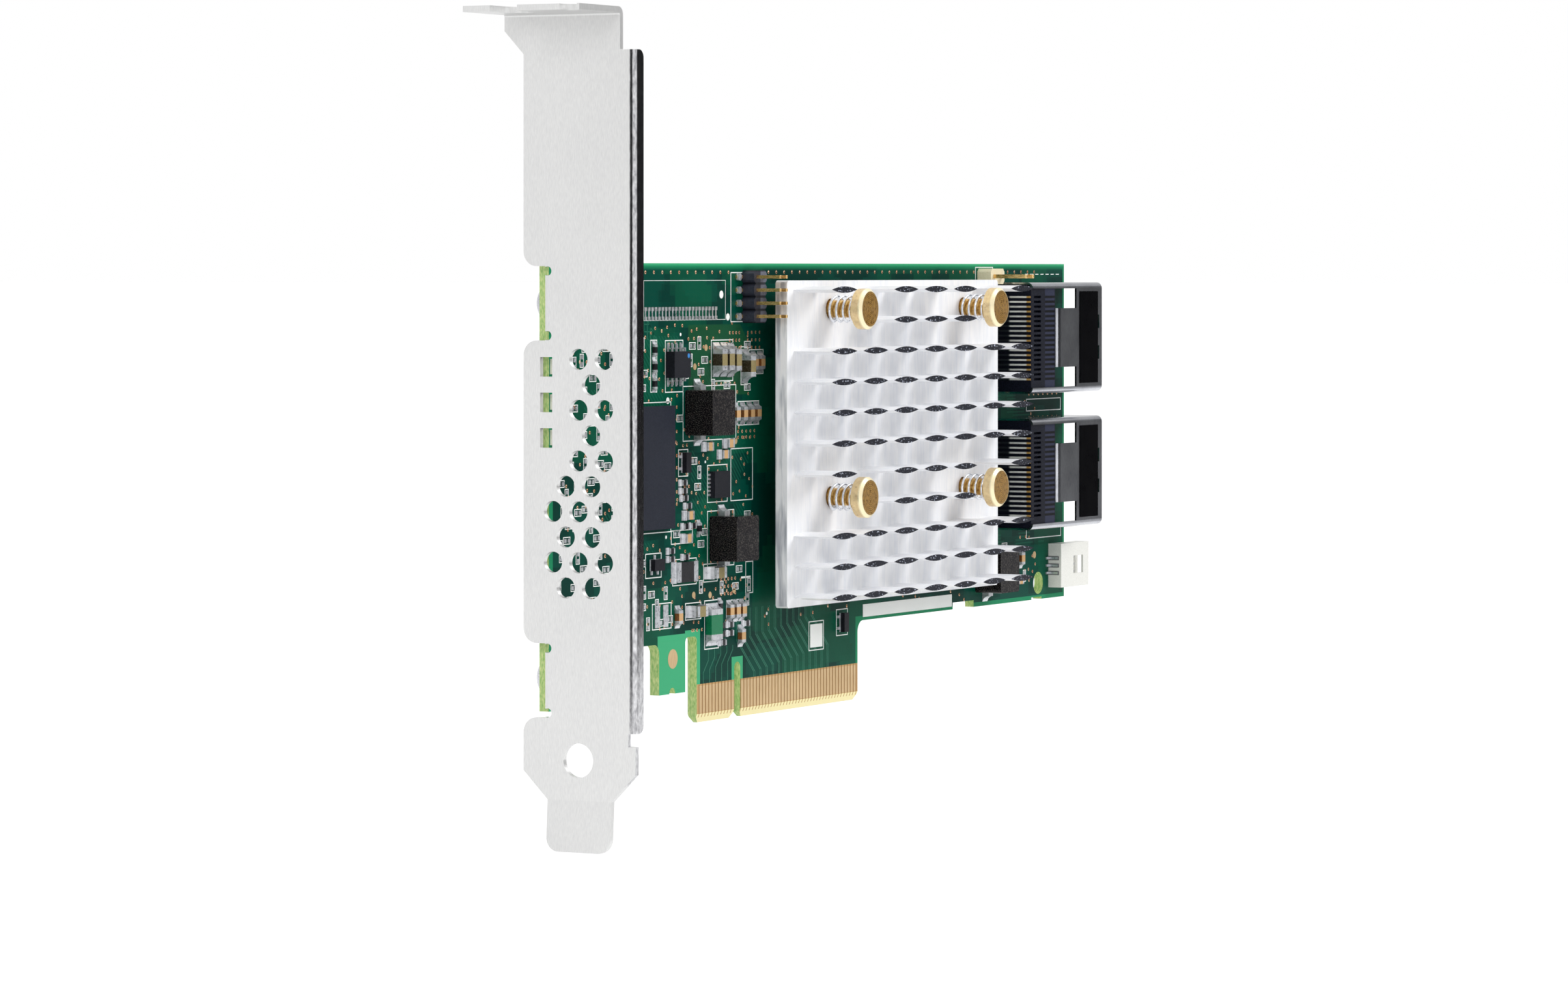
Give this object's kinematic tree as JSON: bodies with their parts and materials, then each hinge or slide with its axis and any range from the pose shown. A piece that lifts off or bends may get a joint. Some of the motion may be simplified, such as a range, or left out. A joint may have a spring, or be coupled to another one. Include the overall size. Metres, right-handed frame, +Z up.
{
  "type": "raid controller card",
  "caption": "Low-profile storage controller card: keyed card edge, pin-fin heatsink on spring pins, end-facing cable ports, vented full-height bracket.",
  "frame": {"origin": "centre of the key notch in the card edge, middle of the board's thickness, tip of the edge contacts", "axes": "+X along the board away from the bracket, component side faces -Y, +Z up, away from the slot"},
  "size_m": [0.1898, 0.0216, 0.12],
  "materials": {
    "solder_mask": "glossy green",
    "gold": "plated",
    "bracket_steel": "satin",
    "screw_steel": "polished",
    "sink_aluminium": "brushed",
    "pin_brass": "turned",
    "spring_steel": "bright",
    "chip_black": "matte moulded",
    "pad_grey": "matte",
    "housing_black": "moulded",
    "shield_steel": "bright",
    "label_black": "matte film",
    "connector_white": "moulded",
    "jumper_beige": "moulded",
    "tin": "tinned",
    "inductor_grey": "pressed powder",
    "capacitor_brown": "fired",
    "resistor_black": "glazed",
    "fuse_green": "matte",
    "led_clear": "clear moulding"
  },
  "bodies": {
    "root": {"circuit_board": "solder_mask", "edge_contacts": "gold", "mounting_bracket": "bracket_steel", "bracket_screws": "screw_steel", "heatsink": "sink_aluminium", "heatsink_push_pins": "pin_brass", "push_pin_springs": "spring_steel", "controller_chip": "chip_black", "thermal_pad": "pad_grey", "port_1_housing": "housing_black", "port_2_housing": "housing_black", "port_1_contacts": "gold", "port_2_contacts": "gold", "port_1_shield": "shield_steel", "port_2_shield": "shield_steel", "port_1_label": "label_black", "port_2_label": "label_black", "wire_connector": "connector_white", "wire_connector_contacts": "tin", "cable_header": "chip_black", "cable_header_pins": "gold", "jumper_header": "jumper_beige", "jumper_pins": "gold", "memory_chip": "chip_black", "serial_chip": "chip_black", "serial_chip_leads": "tin", "regulator_chip": "chip_black", "transistors": "chip_black", "inductors": "inductor_grey", "inductor_feet": "tin", "fuse": "fuse_green", "fuse_ends": "tin", "sense_resistor": "resistor_black", "sense_resistor_ends": "tin", "large_capacitors": "capacitor_brown", "large_capacitor_ends": "tin", "small_capacitors": "capacitor_brown", "small_capacitor_ends": "tin", "chip_resistors": "resistor_black", "chip_resistor_ends": "tin", "status_leds": "led_clear"}
  },
  "joints": []
}
